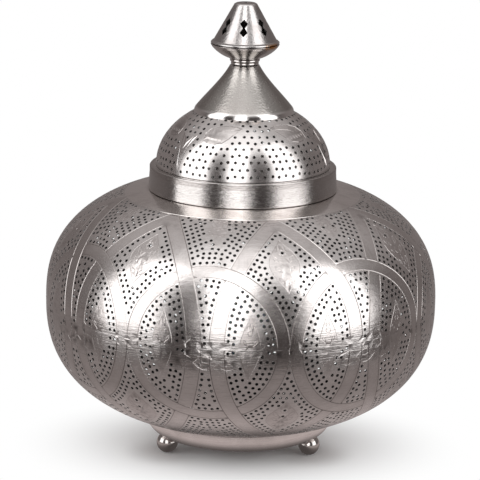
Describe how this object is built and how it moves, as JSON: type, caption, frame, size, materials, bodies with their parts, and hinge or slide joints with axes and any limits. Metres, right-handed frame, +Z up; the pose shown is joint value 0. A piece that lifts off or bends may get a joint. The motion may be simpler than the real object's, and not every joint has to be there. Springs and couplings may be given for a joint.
{
  "type": "table lamp",
  "caption": "Pierced metal table lamp: round body on a ball-footed dish, with a lift-off domed lid and finial over a screw-cap bulb.",
  "frame": {"origin": "on the table, on the lamp's axis", "axes": "+Z up along the lamp's axis, -Y towards the front, +X to the right seen from the front"},
  "size_m": [0.3448, 0.3448, 0.3998],
  "materials": {
    "satin_nickel": "satin nickel plate on brass sheet, hand engraved and pierced",
    "brushed_nickel": "nickel plate brushed round the band",
    "polished_nickel": "polished nickel plate",
    "brass": "bare brass",
    "steel": "zinc-plated steel",
    "black_plastic": "black moulded plastic",
    "porcelain": "porcelain, taken as a hard gloss plastic",
    "opal_glass": "opal glass",
    "rubber": "soft black rubber"
  },
  "bodies": {
    "stand": {"base_dish": "polished_nickel", "foot_left": "polished_nickel", "foot_right": "polished_nickel", "foot_back": "polished_nickel", "foot_screw_left": "steel", "foot_screw_right": "steel", "foot_screw_back": "steel", "cord_grommet": "rubber", "body_lower": "satin_nickel", "body_upper": "satin_nickel", "neck_collar": "brushed_nickel", "holder_bridge": "steel", "bridge_screw_left": "steel", "bridge_screw_right": "steel", "bridge_nut_left": "steel", "bridge_nut_right": "steel", "holder_nipple": "brass", "nipple_nut": "brass", "holder_cap": "black_plastic", "holder_skirt": "black_plastic", "holder_insert": "porcelain", "thread_sleeve": "brass", "contact_tongue": "brass", "terminal_front": "brass", "terminal_back": "brass"},
    "lid": {"lid_band": "brushed_nickel", "lid_dome": "satin_nickel", "lid_cone": "polished_nickel", "finial_ferrule": "polished_nickel", "finial_bowl": "polished_nickel", "finial_cap": "polished_nickel", "finial_rod": "steel", "finial_washer": "steel", "finial_nut_lower": "steel", "finial_nut_upper": "steel"},
    "bulb": {"bulb_contact": "brass", "bulb_insulator": "black_plastic", "bulb_cap": "brushed_nickel", "bulb_glass": "opal_glass"}
  },
  "joints": [
    {"name": "lid_lift", "type": "slide", "parent": "stand", "child": "lid", "axis": [0, 0, 1], "range_m": [0, 0.12]},
    {"name": "bulb_turn", "type": "hinge", "parent": "stand", "child": "bulb", "pos_m": [0, 0, 0.0621], "axis": [0, 0, 1], "range_deg": [0, 1080]}
  ]
}
